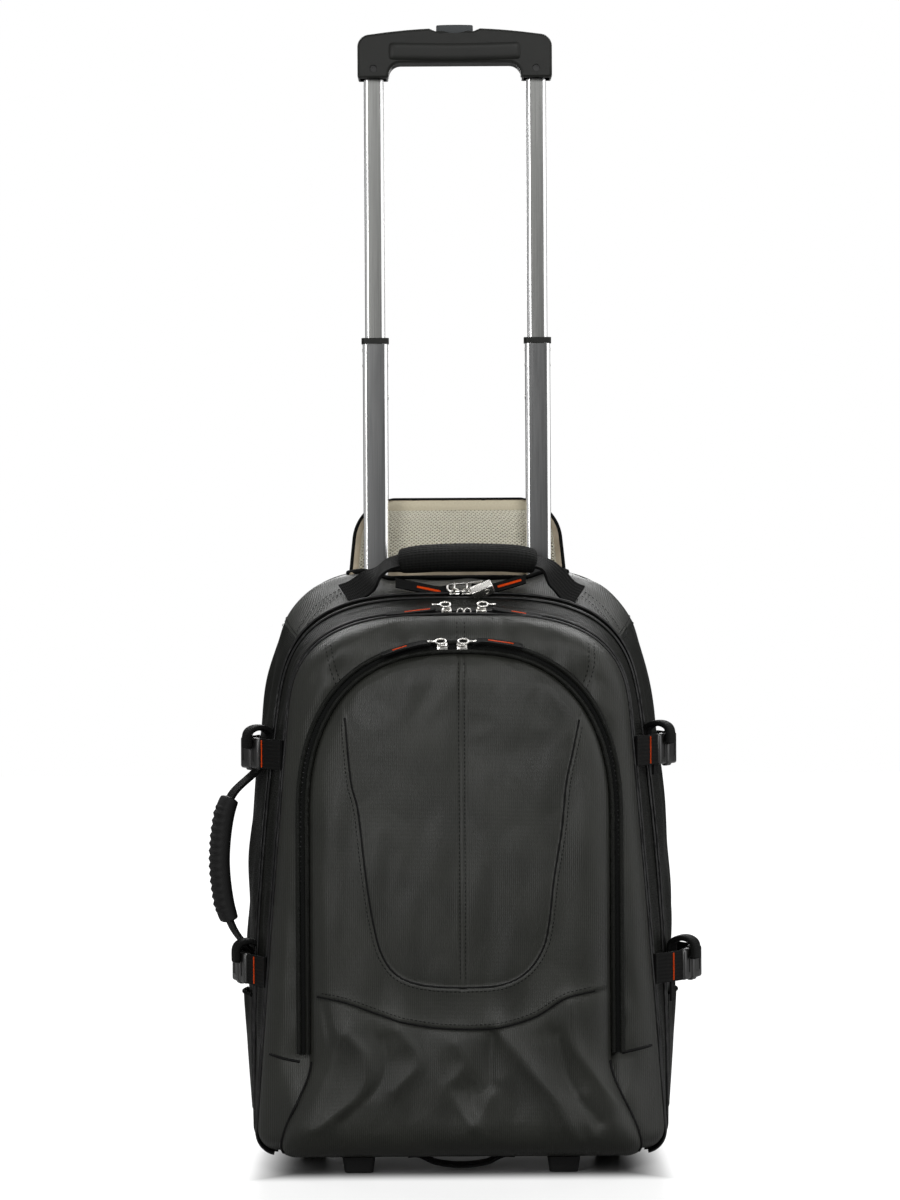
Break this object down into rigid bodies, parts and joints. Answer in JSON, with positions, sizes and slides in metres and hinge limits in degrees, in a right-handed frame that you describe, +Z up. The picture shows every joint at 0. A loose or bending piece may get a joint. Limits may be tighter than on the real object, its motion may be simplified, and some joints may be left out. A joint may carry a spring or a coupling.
{
  "type": "wheeled laptop backpack",
  "caption": "Soft wheeled laptop backpack with zipped compartments, compression straps, carry handles, shoulder straps and a telescopic trolley handle drawn out of its open rear pocket.",
  "frame": {"origin": "on the floor under the middle of the bag's overall width and depth", "axes": "+Z up, front pocket towards -Y, +X to the right as seen from the front"},
  "size_m": [0.436, 0.2451, 1.0082],
  "materials": {
    "cloth": "fine ribbed nylon, dark charcoal",
    "zip_tape": "woven tape with a coil",
    "webbing": "woven webbing",
    "lining": "beige lining and mesh",
    "rubber": "matt",
    "black_plastic": "satin",
    "buckle_plastic": "gloss",
    "aluminium": "dark anodised",
    "bright_metal": "bright"
  },
  "bodies": {
    "bag": {"back_panel": "cloth", "side_gusset_right": "cloth", "side_gusset_left": "cloth", "top_gusset": "cloth", "base_panel": "cloth", "main_zip": "zip_tape", "organiser_gusset": "cloth", "organiser_zip": "zip_tape", "organiser_front": "cloth", "front_pocket": "cloth", "pocket_zip": "zip_tape", "side_pocket_right": "cloth", "side_pocket_left": "cloth", "handle_pocket_lining": "lining", "cover_flap": "cloth", "flap_lining": "lining", "flap_mesh": "lining", "top_handle_strap": "webbing", "top_handle_pad": "cloth", "side_handle_strap": "webbing", "side_handle_grip": "rubber", "bottom_grab_handle": "webbing", "strap_front_upper_right": "webbing", "strap_rear_upper_right": "webbing", "buckle_upper_right": "buckle_plastic", "strap_front_lower_right": "webbing", "strap_rear_lower_right": "webbing", "buckle_lower_right": "buckle_plastic", "strap_front_upper_left": "webbing", "strap_rear_upper_left": "webbing", "buckle_upper_left": "buckle_plastic", "strap_front_lower_left": "webbing", "strap_rear_lower_left": "webbing", "buckle_lower_left": "buckle_plastic", "main_zip_pull_left": "bright_metal", "main_zip_pull_right": "bright_metal", "organiser_zip_pull_left": "bright_metal", "organiser_zip_pull_right": "bright_metal", "pocket_zip_pull_left": "bright_metal", "pocket_zip_pull_right": "bright_metal", "padlock": "bright_metal", "fixed_tube_right": "aluminium", "fixed_tube_left": "aluminium", "front_foot_right": "rubber", "front_foot_left": "rubber", "wheel_housing_right": "black_plastic", "wheel_housing_left": "black_plastic", "shoulder_strap_right": "cloth", "shoulder_strap_left": "cloth"},
    "lower_stage": {"lower_tube_right": "aluminium", "lower_tube_left": "aluminium", "tube_collar_right": "black_plastic", "tube_collar_left": "black_plastic"},
    "upper_stage": {"upper_tube_right": "aluminium", "upper_tube_left": "aluminium", "grip": "black_plastic"},
    "button": {"release_button": "black_plastic"},
    "wheel_right_body": {"wheel_right": "rubber"},
    "wheel_left_body": {"wheel_left": "rubber"}
  },
  "joints": [
    {"name": "lower_stage_slide", "type": "slide", "parent": "bag", "child": "lower_stage", "axis": [0, 0, 1], "range_m": [-0.283, 0]},
    {"name": "upper_stage_slide", "type": "slide", "parent": "lower_stage", "child": "upper_stage", "axis": [0, 0, 1], "range_m": [-0.232, 0]},
    {"name": "button_press", "type": "slide", "parent": "upper_stage", "child": "button", "axis": [0, 0, 1], "range_m": [-0.003, 0], "stiffness_N_per_m": 400},
    {"name": "wheel_right_spin", "type": "hinge", "parent": "bag", "child": "wheel_right_body", "pos_m": [0.1318, 0.08, 0.03], "axis": [1, 0, 0], "continuous": true},
    {"name": "wheel_left_spin", "type": "hinge", "parent": "bag", "child": "wheel_left_body", "pos_m": [-0.1318, 0.08, 0.03], "axis": [1, 0, 0], "continuous": true}
  ]
}
